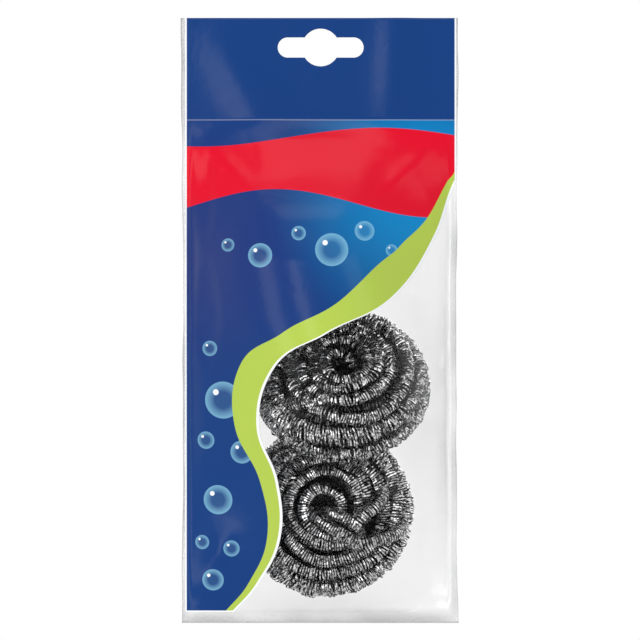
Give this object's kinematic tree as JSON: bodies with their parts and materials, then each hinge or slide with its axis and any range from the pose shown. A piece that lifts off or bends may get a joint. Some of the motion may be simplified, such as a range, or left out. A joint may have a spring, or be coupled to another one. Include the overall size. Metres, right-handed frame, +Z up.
{
  "type": "pot scrubber pack",
  "caption": "Sealed hang bag of printed and clear film with a euro peg slot, holding spiral stainless-steel pot scrubbers that lie loose in its pouch.",
  "frame": {"origin": "middle of the peg slot, on the plane where the two films are welded", "axes": "+Z up along the bag, +X across it, the printed front faces -Y"},
  "size_m": [0.104, 0.0685, 0.2253],
  "materials": {
    "printed_film": "gloss",
    "clear_film": "gloss",
    "steel_strand": "bright curled tape"
  },
  "bodies": {
    "bag": {"front_film": "printed_film", "back_film": "clear_film"},
    "lower_scrubber": {"lower_inner_layers": "steel_strand", "lower_outer_turns": "steel_strand"},
    "middle_scrubber": {"middle_inner_layers": "steel_strand", "middle_outer_turns": "steel_strand"},
    "upper_scrubber": {"upper_inner_layers": "steel_strand", "upper_outer_turns": "steel_strand"}
  },
  "joints": [
    {"name": "lower_lift", "type": "slide", "parent": "bag", "child": "lower_scrubber", "axis": [0, 0, 1], "range_m": [0, 0.003]},
    {"name": "middle_lift", "type": "slide", "parent": "lower_scrubber", "child": "middle_scrubber", "axis": [0, 0, 1], "range_m": [0, 0.003]},
    {"name": "upper_lift", "type": "slide", "parent": "middle_scrubber", "child": "upper_scrubber", "axis": [0, 0, 1], "range_m": [0, 0.003]}
  ]
}
